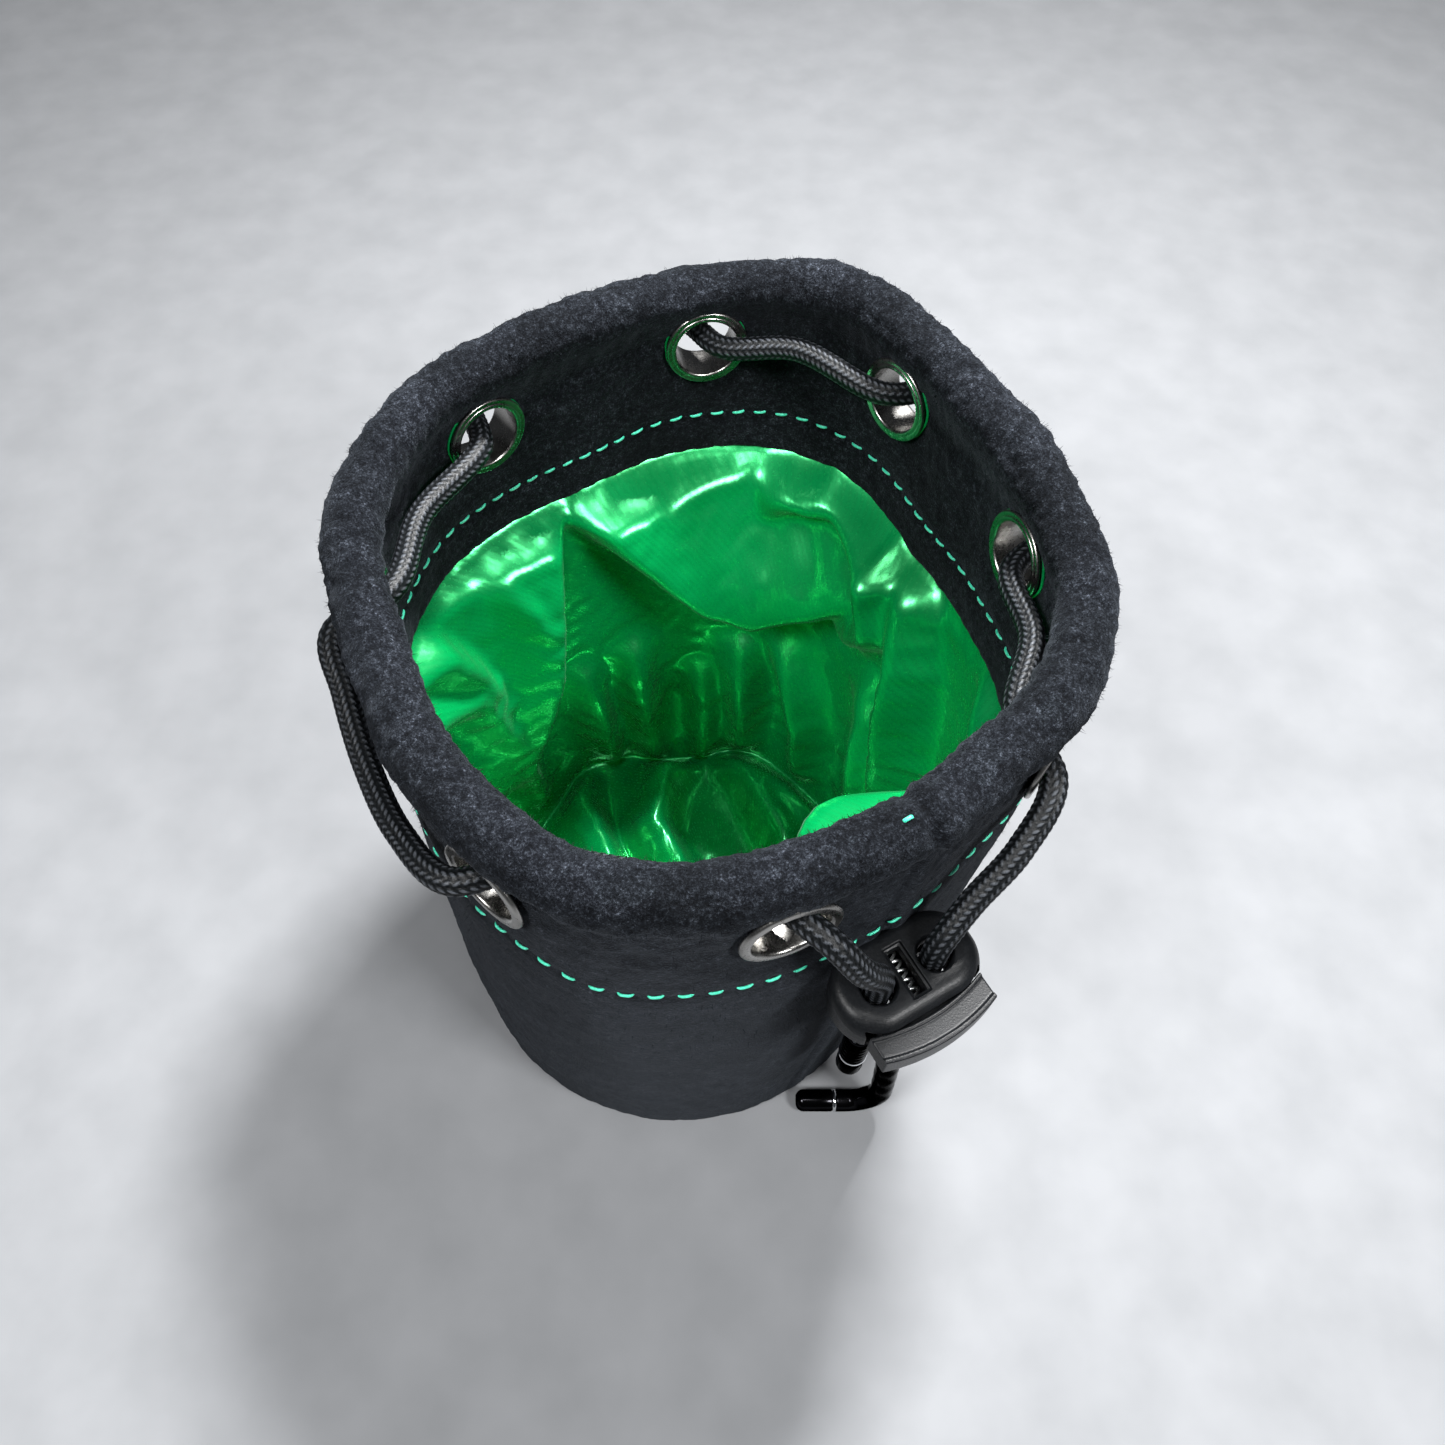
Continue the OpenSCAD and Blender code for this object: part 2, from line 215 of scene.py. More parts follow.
# ---- lines and tubes
def smooth_line(points, step):
    """A Catmull-Rom line through the points, at even steps."""
    points = np.asarray(points, float)
    padded = np.vstack([points[:1], points, points[-1:]])
    t = np.linspace(0, 1, 24, endpoint=False)[:, None]
    legs = []
    for p0, p1, p2, p3 in zip(padded, padded[1:], padded[2:], padded[3:]):
        legs.append(0.5 * (2 * p1 + (p2 - p0) * t + (2 * p0 - 5 * p1 + 4 * p2 - p3) * t ** 2
                           + (3 * p1 - p0 - 3 * p2 + p3) * t ** 3))
    fine = np.vstack(legs + [points[-1:]])
    far = np.concatenate([[0], np.cumsum(np.linalg.norm(np.diff(fine, axis=0), axis=1))])
    even = np.linspace(0, far[-1], max(2, round(far[-1] / step) + 1))
    return np.column_stack([np.interp(even, far, fine[:, i]) for i in range(3)])


def frames_along(line):
    """Two directions across a line at each of its points, without twist."""
    along = np.gradient(line, axis=0)
    along /= np.linalg.norm(along, axis=1)[:, None]
    side = np.cross(along[0], (0.3, 0.5, 0.8))
    sides = []
    for direction in along:
        side = side - direction * (side @ direction)
        side = side / np.linalg.norm(side)
        sides.append(side)
    sides = np.array(sides)
    return sides, np.cross(along, sides)


def tube_points(line, radius, around):
    """Points round a line; radius is a number, one for each ring, or one for each point."""
    side, up = frames_along(line)
    turn = np.arange(around) * 2 * np.pi / around
    radius = np.broadcast_to(np.asarray(radius, float).reshape(-1, 1)
                             if np.ndim(radius) == 1 else radius, (len(line), around))
    return (line[:, None, :]
            + radius[..., None] * (side[:, None, :] * np.cos(turn)[None, :, None]
                                   + up[:, None, :] * np.sin(turn)[None, :, None])).reshape(-1, 3)


def closed_tube(name, line, radius, around, material):
    """A tube with flat, closed ends."""
    points = tube_points(line, radius, around)
    return piece_of(name, points, capped_faces(len(line), around), material)


def roll(r, h, across, start, end, count, upward=None):
    """Part of a circle in a turned profile, or of an ellipse, about (r, h) and between two angles."""
    upward = across if upward is None else upward
    return [(r + across * math.cos(math.radians(t)), h + upward * math.sin(math.radians(t)))
            for t in np.linspace(start, end, count)]


def lathe(name, profile, around, place, material):
    """A profile of (radius, height) turned about an axis; place turns (x, y, height) into the frame."""
    turn = np.arange(around) * 2 * np.pi / around
    profile = list(profile)
    ahead = profile[1:] + profile[:1]
    if sum(a[0] * b[1] - b[0] * a[1] for a, b in zip(profile, ahead)) < 0:
        profile.reverse()
    rows = [np.column_stack([r * np.cos(turn), r * np.sin(turn), np.full(around, h)]) for r, h in profile]
    points = np.vstack(rows)
    points = points @ np.array(place.to_3x3()).T + np.array(place.translation)
    return piece_of(name, points, ring_faces(len(profile), around, True), material)


# ---- the wall's form
def mouth_radius(a):
    return MOUTH_R + sum(size * np.cos(np.radians(n * (a - crest))) for n, size, crest in MOUTH_WAVES)


def near_eyelet(a, z):
    """1 at an eyelet, fading to 0 some millimetres past its flange."""
    near = np.zeros(np.broadcast(a, z).shape)
    for eyelet in EYELET_ANGLES:
        across = np.radians((a - eyelet + 180) % 360 - 180) * MOUTH_R
        away = np.hypot(across, z - EYELET_Z)
        near = np.maximum(near, 1 - smoothstep(9 * MM, 17 * MM, away))
    return near


def sway(a, z):
    """How far the soft wall stands out of its plain form: slack drapes between the base and the eyelets."""
    level = smoothstep(2 * MM, 45 * MM, z)
    drape = (0.55 * np.sin(np.radians(5 * a + 40) + 9 * z) + 0.45 * np.sin(np.radians(9 * a) - 14 * z)
             + 0.3 * np.sin(np.radians(14 * a - 70) + 31 * z) + 0.7 * np.sin(np.radians(2 * a + 15) + 40 * z))
    return 0.55 * MM * drape * level * (1 - near_eyelet(a, z))


def wall_point(a, z, inset):
    """A point at angle a and height z, inset from the wall's outside. Arrays go in together."""
    a, z, inset = np.broadcast_arrays(np.asarray(a, float), z, inset)
    rise = np.sin(np.radians(90 * np.clip(z / BULGE_H, 0, 1)))
    radius = BASE_R + (mouth_radius(a) - BASE_R) * rise + sway(a, z) - inset
    lean = (z / BAG_H)[..., None] * MOUTH_LEAN
    turn = np.stack([np.cos(np.radians(a)), np.sin(np.radians(a)), np.zeros_like(a)], axis=-1)
    return lean + radius[..., None] * turn + np.stack([0 * z, 0 * z, z], axis=-1)


def on_wall(a, z, inset=0.0):
    """A matrix at that point of the wall: X around it, Y up it, Z out of the bag."""
    around = wall_point(a + 1, z, 0) - wall_point(a - 1, z, 0)
    upward = wall_point(a, z + 2 * MM, 0) - wall_point(a, z - 2 * MM, 0)
    x = Vector(around).normalized()
    out = x.cross(Vector(upward)).normalized()
    y = out.cross(x)
    at = Vector(wall_point(a, z, inset))
    return Matrix(((x.x, y.x, out.x, at.x), (x.y, y.y, out.y, at.y), (x.z, y.z, out.z, at.z), (0, 0, 0, 1)))


# ---- materials
class Nodes:
    """Short calls for building one material's nodes."""

    def __init__(self, name, **sockets):
        self.material = bpy.data.materials.new(name)
        self.material.use_nodes = True
        self.tree = self.material.node_tree
        self.shader = self.tree.nodes["Principled BSDF"]
        for socket, value in sockets.items():
            self.shader.inputs[socket.replace("_", " ").title().replace("Ior", "IOR")].default_value = value

    def node(self, kind, **values):
        made = self.tree.nodes.new("ShaderNode" + kind)
        for key, value in values.items():
            if hasattr(made, key):
                setattr(made, key, value)
            else:
                self.feed(made.inputs[key.replace("_", " ").title()], value)
        return made

    def feed(self, socket, value):
        if isinstance(value, bpy.types.NodeSocket):
            self.tree.links.new(value, socket)
        else:
            socket.default_value = value

    def noise(self, scale, detail, roughness):
        made = self.node("TexNoise", scale=scale, detail=detail)
        made.inputs["Roughness"].default_value = roughness
        self.feed(made.inputs["Vector"], self.node("TexCoord").outputs["Object"])
        return made.outputs["Fac"]

    def maths(self, operation, a, b=0.0):
        made = self.node("Math", operation=operation)
        self.feed(made.inputs[0], a)
        self.feed(made.inputs[1], b)
        return made.outputs[0]

    def weighed(self, a, share_a, b, share_b):
        """a * share_a + b * share_b"""
        return self.maths("ADD", self.maths("MULTIPLY", a, share_a), self.maths("MULTIPLY", b, share_b))

    def between(self, value, low, high, to_low=0.0, to_high=1.0):
        made = self.node("MapRange")
        for socket, number in zip(made.inputs[:5], (value, low, high, to_low, to_high)):
            self.feed(socket, number)
        return made.outputs[0]

    def ramp(self, value, *stops):
        made = self.node("ValToRGB")
        points = made.color_ramp.elements
        while len(points) < len(stops):
            points.new(0.5)
        for point, (at, colour) in zip(points, stops):
            point.position = at
            point.color = (*colour, 1)
        self.feed(made.inputs["Fac"], value)
        return made.outputs["Color"]

    def mix(self, factor, a, b, blend_type="MIX"):
        made = self.node("Mix", data_type="RGBA", blend_type=blend_type)
        self.feed(made.inputs["Factor"], factor)
        for socket, value in ((made.inputs[6], a), (made.inputs[7], b)):
            self.feed(socket, (*value, 1) if isinstance(value, tuple) else value)
        return made.outputs[2]

    def colour(self, value):
        self.feed(self.shader.inputs["Base Color"], value)

    def roughness(self, value):
        self.feed(self.shader.inputs["Roughness"], value)

    def bump(self, height, distance, strength=1.0):
        made = self.node("Bump")
        made.inputs["Strength"].default_value = strength
        made.inputs["Distance"].default_value = distance
        self.feed(made.inputs["Height"], height)
        self.feed(self.shader.inputs["Normal"], made.outputs["Normal"])


def suede_material():
    m = Nodes("suede", sheen_weight=0.05, sheen_roughness=0.4, specular_ior_level=0.05)
    m.shader.inputs["Sheen Tint"].default_value = (0.6, 0.68, 0.8, 1)
    fibre = m.noise(3300, 2, 0.75)
    tuft = m.noise(1100, 3, 0.7)
    clump = m.noise(240, 3, 0.6)
    patch = m.noise(42, 2, 0.5)
    grain = m.weighed(fibre, 0.45, tuft, 0.38)
    grain = m.maths("ADD", grain, m.maths("MULTIPLY", clump, 0.17))
    tone = m.ramp(grain, (0.40, (0.0010, 0.0012, 0.0016)), (0.50, (0.0036, 0.0043, 0.0055)),
                  (0.58, (0.012, 0.014, 0.017)), (0.70, (0.060, 0.068, 0.082)))
    brushed = m.mix(m.between(patch, 0.35, 0.65), (0.7, 0.72, 0.74), (1.25, 1.25, 1.3))
    m.colour(m.mix(1.0, tone, brushed, "MULTIPLY"))
    m.roughness(m.between(fibre, 0.3, 0.7, 0.85, 1.0))
    m.bump(grain, 0.45 * MM, 0.9)
    return m.material


def satin_material():
    m = Nodes("satin", specular_ior_level=0.6, anisotropic=0.45, coat_weight=0.12, coat_roughness=0.22,
              sheen_weight=0.05, sheen_roughness=0.35, metallic=0.5)
    m.shader.inputs["Sheen Tint"].default_value = (0.5, 1.0, 0.7, 1)
    cloth = m.node("UVMap").outputs["UV"]
    scaled = m.node("Mapping")
    m.feed(scaled.inputs["Vector"], cloth)
    scaled.inputs["Scale"].default_value = (420, 420, 420)
    rib = m.node("TexWave", wave_type="BANDS", bands_direction="DIAGONAL", scale=1.0, distortion=1.2)
    rib.inputs["Detail Scale"].default_value = 3.0
    m.feed(rib.inputs["Vector"], scaled.outputs["Vector"])
    slub = m.noise(1500, 2, 0.6)
    dye = m.noise(45, 2, 0.5)
    tone = m.ramp(m.between(dye, 0.3, 0.7), (0.0, (0.0003, 0.26, 0.062)), (1.0, (0.001, 0.39, 0.100)))
    m.colour(m.mix(m.maths("MULTIPLY", rib.outputs["Fac"], 0.22), tone, (0.0, 0.18, 0.040)))
    shine = m.weighed(slub, 0.14, rib.outputs["Fac"], 0.03)
    m.roughness(m.maths("ADD", shine, 0.17))
    height = m.maths("ADD", rib.outputs["Fac"], m.maths("MULTIPLY", slub, 0.9))
    m.bump(height, 0.03 * MM, 0.22)
    return m.material


def braid_material():
    m = Nodes("braided_cord", specular_ior_level=0.3, ior=1.35)
    crown = m.node("Attribute", attribute_name="crown").outputs["Fac"]
    fibre = m.noise(4200, 2, 0.6)
    worn = m.noise(160, 2, 0.5)
    # The colour follows the braid's relief height: painted shade between the strands and a painted highlight
    # on each strand's crown, mixed with fine fibre noise
    tone = m.weighed(crown, 0.72, fibre, 0.28)
    dark = m.ramp(tone, (0.30, (0.0008, 0.0009, 0.001)), (0.66, (0.005, 0.006, 0.007)),
                  (0.86, (0.060, 0.066, 0.076)))
    m.colour(m.mix(m.between(worn, 0.35, 0.7, 0.0, 0.4), dark, (0.006, 0.007, 0.008)))
    m.roughness(m.between(fibre, 0.3, 0.7, 0.30, 0.50))
    m.bump(fibre, 0.10 * MM, 0.6)
    return m.material


def thread_material(name, dark, light):
    m = Nodes(name, specular_ior_level=0.5, sheen_weight=0.3, sheen_roughness=0.3)
    ply = m.noise(2600, 2, 0.6)
    m.colour(m.ramp(ply, (0.3, dark), (0.7, light)))
    m.roughness(m.between(ply, 0.3, 0.7, 0.35, 0.6))
    m.bump(ply, 0.1 * MM, 0.5)
    return m.material


def metal_material(name, dark, light, low_gloss, high_gloss):
    m = Nodes(name, metallic=1.0)
    cloud = m.noise(140, 3, 0.6)
    scratch = m.noise(2400, 2, 0.7)
    m.colour(m.ramp(cloud, (0.3, dark), (0.7, light)))
    m.roughness(m.between(m.weighed(cloud, 0.5, scratch, 0.5), 0.35, 0.65, low_gloss, high_gloss))
    m.bump(scratch, 0.01 * MM, 0.4)
    return m.material


def lock_material():
    m = Nodes("lock_plastic", ior=1.24)
    texture = m.noise(3600, 2, 0.6)
    cast = m.noise(120, 2, 0.5)
    m.colour(m.ramp(m.weighed(texture, 0.5, cast, 0.5),
                    (0.35, (0.0025, 0.0028, 0.0032)), (0.65, (0.007, 0.0078, 0.009))))
    m.roughness(m.between(texture, 0.3, 0.7, 0.30, 0.44))
    m.bump(texture, 0.05 * MM, 0.45)
    return m.material


def gloss_material():
    m = Nodes("gloss_sleeve", metallic=1.0)
    m.shader.inputs["Specular Tint"].default_value = (0.2, 0.2, 0.2, 1)
    flow = m.noise(260, 2, 0.5)
    m.colour(m.ramp(flow, (0.3, (0.010, 0.010, 0.011)), (0.7, (0.016, 0.016, 0.018))))
    m.roughness(m.between(flow, 0.3, 0.7, 0.12, 0.22))
    m.bump(flow, 0.06 * MM, 0.3)
    return m.material


def board_material():
    m = Nodes("board", specular_ior_level=0.2)
    fibre = m.noise(700, 4, 0.7)
    m.colour(m.ramp(fibre, (0.3, (0.16, 0.14, 0.11)), (0.7, (0.36, 0.32, 0.26))))
    m.roughness(m.between(fibre, 0.3, 0.7, 0.8, 0.95))
    m.bump(fibre, 0.1 * MM, 0.5)
    return m.material


# ---- the cord and its ends
BRAID_COLUMNS = 10
BRAID_PITCH = 1.15 * MM


def braid_relief(line, around):
    """Height of the herringbone braid at each point of the tube, from 0 between strands to 1 on top."""
    far = np.concatenate([[0], np.cumsum(np.linalg.norm(np.diff(line, axis=0), axis=1))])[:, None]
    column = np.arange(around)[None, :] * BRAID_COLUMNS / around
    index = np.floor(column)
    across = column - index - 0.5 + 0.5 * BRAID_COLUMNS / around
    slant = np.where(index % 2 == 0, 1, -1)
    grain = far / BRAID_PITCH + 0.85 * slant * across + 0.5 * (index % 2)
    along = grain - np.floor(grain) - 0.5
    return np.sqrt(np.clip(1 - (2 * across) ** 2, 0, 1)) * np.clip(1 - (2 * along) ** 4, 0, 1)


def make_cord(material):
    around = 5 * BRAID_COLUMNS
    line = smooth_line(ROUTE, 0.29 * MM)
    relief = braid_relief(line, around)
    radius = CORD_R * (0.86 + 0.17 * relief)
    cord = closed_tube("drawstring_cord", line, radius, around, material)
    # The relief height is kept as an attribute for the colour, which paints shade between the strands and
    # highlights on their crowns
    crown = cord.data.attributes.new("crown", "FLOAT", "POINT")
    crown.data.foreach_set("value", relief.ravel().astype(np.float32))
    finish_piece(cord, "bag", "braided_cord", "drawstring")
    return cord, line


def sleeve_radius(count):
    """Radius along a shrunk sleeve, with a rounded lip at its start."""
    t = np.linspace(0, 1, count)
    lip = 0.35 * MM * np.exp(-t * count / 1.6)
    return SLEEVE_R - lip + 0.03 * MM * np.sin(t * 40)


def tail_end(kind, joint, heading, gloss, bright):
    """Ring and cap past the end of a sleeve; heading points away from the sleeve."""
    place = Vector(heading).to_track_quat("Z", "Y").to_matrix().to_4x4()
    place.translation = Vector(joint)
    ring = [(SLEEVE_R - 1.2 * MM, 0.0)]
    ring += roll(SLEEVE_R - 0.10 * MM, 0.4 * MM, 0.24 * MM, -80, 80, 9, 0.4 * MM)
    ring += [(SLEEVE_R - 1.2 * MM, 0.8 * MM)]
    made = lathe(f"tail_{kind}_ring", ring, 40, place, bright)
    finish_piece(made, "bag", "bright_ring", f"tail_ring_{kind}")
    end, corner = 9 * MM, 1.7 * MM
    cap = [(0.1 * MM, 0.75 * MM), (SLEEVE_R - 0.4 * MM, 0.75 * MM), (SLEEVE_R - 0.1 * MM, 0.85 * MM),
           (SLEEVE_R, 1.1 * MM), (SLEEVE_R, 3.5 * MM)]
    cap += roll(SLEEVE_R - corner, end - corner, corner, 0, 90, 10)
    cap += [(0.1 * MM, end)]
    tip = lathe(f"tail_{kind}_cap", cap, 40, place, gloss)
    finish_piece(tip, "bag", "gloss_sleeve", f"tail_cap_{kind}")
    return [made, tip]


def make_tails(gloss, bright):
    whole = smooth_line(ROUTE, 0.5 * MM)
    start = np.argmin(np.linalg.norm(whole - ROUTE[LONG_SLEEVE_FROM], axis=1))
    lines = {"long": whole[start:], "short": smooth_line(ROUTE[SHORT_SLEEVE_TO::-1], 0.5 * MM)}
    pieces = []
    for kind, line in lines.items():
        sleeve = closed_tube(f"tail_{kind}_sleeve", line, sleeve_radius(len(line)), 32, gloss)
        pieces.append(finish_piece(sleeve, "bag", "gloss_sleeve", f"tail_sleeve_{kind}"))
    pieces += tail_end("long", ROUTE[-1], (-1, 0, 0), gloss, bright)
    pieces += tail_end("short", ROUTE[0], (0, 0, -1), gloss, bright)
    return pieces


# ---- suede
def suede_outline():
    """The suede's section as inset and height: up outside, over the rim, down the cuff, back inside."""
    ease = BAG_H - RIM_R - 3 * MM
    centre = RIM_R - RIM_OUT
    fold_z = BAG_H - RIM_R

    def arc(r, start, end, count):
        t = np.radians(np.linspace(start, end, count))
        return np.column_stack([centre - r * np.cos(t), fold_z + r * np.sin(t)])

    def upright(inset, low, high, count):
        return np.column_stack([np.full(count, inset), np.linspace(low, high, count)])

    gap_inset = CUFF_INSET - SUEDE_T
    turn = np.radians([30, 90, 150])
    raw_edge = np.column_stack([
        CUFF_INSET - SUEDE_T / 2 * (1 - np.cos(turn)),
        CUFF_Z - 0.8 * MM * np.sin(turn),
    ])
    foot = np.array([(1.1 * MM, 0.0), (0.3 * MM, 0.3 * MM)])
    shoulder = np.array([(6.4, 133.6), (5.6, 132.0), (4.9, 130.4), (4.4, 128.8)]) * MM
    return np.vstack([
        foot, upright(0, 1.2 * MM, 98 * MM, 40), upright(0, 99.2 * MM, ease, 31), arc(RIM_R, -10, 178, 22),
        shoulder, upright(CUFF_INSET, 127.6 * MM, CUFF_Z, 33), raw_edge, upright(gap_inset, CUFF_Z, ease, 5),
        arc(RIM_R - SUEDE_T, 180, 0, 7), upright(SUEDE_T, ease, 0, 9),
    ])


def grooves(a, z):
    """Depth of the suede's grooves: along the hem's stitches, and down the side seam."""
    stitched = np.exp(-((z - HEM_Z) / (1.1 * MM)) ** 2) * (0.75 + 0.25 * np.cos(np.radians(a * HEM_COUNT)))
    beside = np.radians((a - SIDE_SEAM_ANGLE + 180) % 360 - 180) * MOUTH_R
    seam = np.exp(-(beside / (0.9 * MM)) ** 2)
    ridge = np.exp(-((beside - 2.4 * MM) / (1.6 * MM)) ** 2)
    return 0.45 * MM * stitched + 0.8 * MM * seam - 0.45 * MM * ridge


def make_suede(material):
    outline = suede_outline()
    around = 520
    angles = np.arange(around) * 360 / around
    a, inset = np.meshgrid(angles, outline[:, 0])
    z = np.repeat(outline[:, 1:2], around, axis=1)
    rim_lift = 0.9 * MM * np.sin(np.radians(3 * a + 20)) + 0.5 * MM * np.sin(np.radians(7 * a - 40))
    lifted = z + rim_lift * smoothstep(131 * MM, 140 * MM, z)
    points = wall_point(a, lifted, inset).reshape(-1, 3)
    wall = piece_of("suede_wall", points, ring_faces(len(outline), around, True), material)
    holes = []
    for angle in EYELET_ANGLES:
        place = on_wall(angle, EYELET_Z)
        profile = [(0.05 * MM, -14 * MM), (EYELET_HOLE_R + 0.5 * MM, -14 * MM),
                   (EYELET_HOLE_R + 0.5 * MM, 12 * MM), (0.05 * MM, 12 * MM)]
        holes.append(lathe("hole", profile, 48, place, material))
    cut(wall, holes)
    rough_suede(wall)
    finish_piece(wall, "bag", "suede", "outer_wall")
    return wall


def rough_suede(wall):
    """Grooves and a clumpy nap on the suede that shows."""
    points, normals = points_of(wall), values_of(wall.data.vertex_normals, "vector")
    centre = points[:, 2:] / BAG_H * MOUTH_LEAN
    a = np.degrees(np.arctan2(points[:, 1] - centre[:, 1], points[:, 0] - centre[:, 0]))
    z = points[:, 2]
    nap = 0.22 * MM * noise_at(points, 3.1 * MM, 3) + 0.34 * MM * noise_at(points, 1.5 * MM, 8)
    nap += 0.30 * MM * noise_at(points, 9 * MM, 5)
    rim = smoothstep(112 * MM, 136 * MM, z)
    covered = near_eyelet(a, z) > 0.97
    depth = grooves(a, z) * smoothstep(0, 6 * MM, z)
    move = nap * (0.55 + 0.75 * rim) - depth * ~covered
    moved = points + normals * (move * smoothstep(0, 1.5 * MM, z))[:, None]
    moved[:, 2] = np.maximum(moved[:, 2], 0)
    set_points(wall, moved)


NAP_COUNT = 11000
NAP_SEED = 7


def make_nap(wall, material):
    """Short loose fibres standing out of the suede round the rim and the cuff, which blur its outline."""
    faces = wall.data.polygons
    centres, normals = values_of(faces, "center"), values_of(faces, "normal")
    area = values_of(faces, "area", 1)[:, 0]
    z = centres[:, 2]
    middle = centres[:, 2:] / BAG_H * MOUTH_LEAN
    out = centres - middle
    a = np.degrees(np.arctan2(out[:, 1], out[:, 0]))
    edge = wall_point(a, z, 0) - middle
    inset = np.hypot(edge[:, 0], edge[:, 1]) - np.hypot(out[:, 0], out[:, 1])
    from_fold = np.hypot(inset - (RIM_R - RIM_OUT), z - (BAG_H - RIM_R))
    hidden = np.where(z > 133 * MM, from_fold < 3.7 * MM, (inset > 0.9 * MM) & (inset < 3.3 * MM))
    density = 0.15 * smoothstep(60 * MM, 100 * MM, z) + 0.85 * smoothstep(126 * MM, 135 * MM, z)
    weight = area * ~hidden * density
    chance = np.random.default_rng(NAP_SEED)
    chosen = chance.choice(len(area), NAP_COUNT, p=weight / weight.sum())
    root, stand = centres[chosen], normals[chosen]
    across = np.cross(stand, chance.normal(size=root.shape))
    across /= np.linalg.norm(across, axis=1)[:, None]
    beside = np.cross(stand, across)
    lean = chance.normal(0, 0.55, (NAP_COUNT, 2))
    direction = stand + across * lean[:, :1] + beside * lean[:, 1:] - np.array([0, 0, 0.25])
    direction /= np.linalg.norm(direction, axis=1)[:, None]
    root = root + across * chance.uniform(-0.4, 0.4, (NAP_COUNT, 1)) * MM - stand * 0.12 * MM
    width = 0.055 * MM
    foot = [root + width * (across * math.cos(t) + beside * math.sin(t)) for t in (0, 2.094, 4.189)]
    tip = root + direction * chance.uniform(0.45, 1.15, (NAP_COUNT, 1)) * MM
    points = np.stack([*foot, tip], axis=1).reshape(-1, 3)
    spike = np.array([(0, 2, 1), (0, 1, 3), (1, 2, 3), (2, 0, 3)])
    spikes = (spike[None] + 4 * np.arange(NAP_COUNT)[:, None, None]).reshape(-1, 3)
    nap = piece_of("suede_nap", points, spikes, material, False)
    return finish_piece(nap, "bag", "suede")


# ---- satin
def fold_height(x, y, line, height, near_side, far_side):
    """Height of a fold that runs along a line of points; its two sides fall off over their own widths."""
    line = np.asarray(line, float) * MM
    best = np.full(np.shape(x), 1e9)
    result = np.zeros(np.shape(x))
    spans = np.linalg.norm(np.diff(line, axis=0), axis=1)
    total, done = spans.sum(), 0.0
    for p, q, span in zip(line, line[1:], spans):
        t = np.clip(((x - p[0]) * (q[0] - p[0]) + (y - p[1]) * (q[1] - p[1])) / span ** 2, 0, 1)
        dx, dy = x - p[0] - t * (q[0] - p[0]), y - p[1] - t * (q[1] - p[1])
        away = np.hypot(dx, dy)
        side = (q[0] - p[0]) * dy - (q[1] - p[1]) * dx
        toward = smoothstep(-0.8, 0.8, side / (span * np.maximum(away, 1e-9)))
        width = (far_side + (near_side - far_side) * toward) * MM
        share = (done + t * span) / total
        ends = np.sin(np.pi * share) ** 0.55
        here = height * MM * ends * np.exp(-(away / width) ** 2)
        result = np.where(away < best, here, result)
        best = np.minimum(best, away)
        done += span
    return result


# Folds of the lining's wall: a line of (distance around, height) in millimetres from angle 90,
# how far the fold stands in, and the widths of the sides to the left and to the right of the line
WALL_FOLDS = [
    ([(-29, 102), (-35, 95), (-39, 82), (-44, 64), (-51, 50), (-58, 27)], 16, 3.0, 20),
    ([(-29, 102), (-20, 90), (-9, 79), (2, 70), (16, 66), (31, 73), (43, 84)], 19, 20, 3.0),
    ([(10, 80), (15, 93), (27, 99), (43, 96), (50, 84), (40, 72), (30, 68)], 13, 5.0, 5.0),
    ([(46, 104), (54, 96), (62, 82), (68, 59), (71, 24)], 12, 3.0, 8),
    ([(72, 102), (88, 91), (93, 70)], 5, 6, 2.5),
    ([(-74, 104), (-63, 82), (-50, 39)], 12, 3.0, 7),
    ([(-50, 98), (-46, 84), (-40, 66)], 15, 3.0, 6),
    ([(-84, 90), (-67, 76), (-56, 40), (-49, 12)], 13, 6, 3.0),
    ([(-96, 98), (-84, 60), (-70, 20)], 10, 7, 4),
    ([(-14, 50), (-13, 33), (-9, 7)], 10, 3.0, 6),
    ([(-28, 48), (-25, 26), (-20, 5)], 9, 2.8, 6),
    ([(2, 36), (4, 20), (5, 6)], 8, 5, 2.8),
    ([(12, 46), (16, 26), (18, 8)], 9, 3.0, 6),
    ([(20, 50), (32, 30), (36, 10)], 10, 6, 3.0),
    ([(46, 62), (54, 54), (61, 34), (58, 12)], 10, 4, 7),
    ([(76, 48), (70, 28), (64, 6)], 5, 5, 3),
    ([(98, 92), (110, 95), (124, 95), (142, 89)], 22, 16, 11),
    ([(116, 96), (120, 86), (122, 74)], 5, 3, 4),
    ([(150, 80), (146, 50), (152, 16)], 6, 5, 8),
    ([(-130, 96), (-124, 55), (-132, 16)], 7, 7, 4),
    ([(-112, 90), (-104, 50), (-108, 12)], 5, 3, 7),
]
# Folds of the lining's floor: lines of (x, y) in millimetres, and the same three numbers
FLOOR_FOLDS = [
    ([(4, 44), (-4, 32), (-6, 18), (6, -4)], 13, 3.5, 8),
    ([(8, 42), (16, 32), (24, 16), (30, -6)], 12, 8, 3.5),
    ([(-26, 36), (-24, 24), (-16, 6), (-6, -16)], 13, 3.5, 9),
    ([(-38, 20), (-34, 6), (-24, -14)], 9, 5, 6),
    ([(12, 40), (26, 30), (38, 16)], 10, 3.5, 7),
    ([(-26, -20), (0, -28), (26, -18)], 10, 8, 8),
]
LINING_AROUND = 168
SIM_SCALE = 10                 # the cloth is simulated ten times its size, where the solver is steadier
SIM_FRAMES = 22
CLOTH_SHRINK = -0.045          # below 0 the cloth grows, so that it is slack
WALL_HOLD = 0.55               # how firmly the cloth keeps its sculpted folds, from 0 to 1
FLOOR_HOLD = 0.85


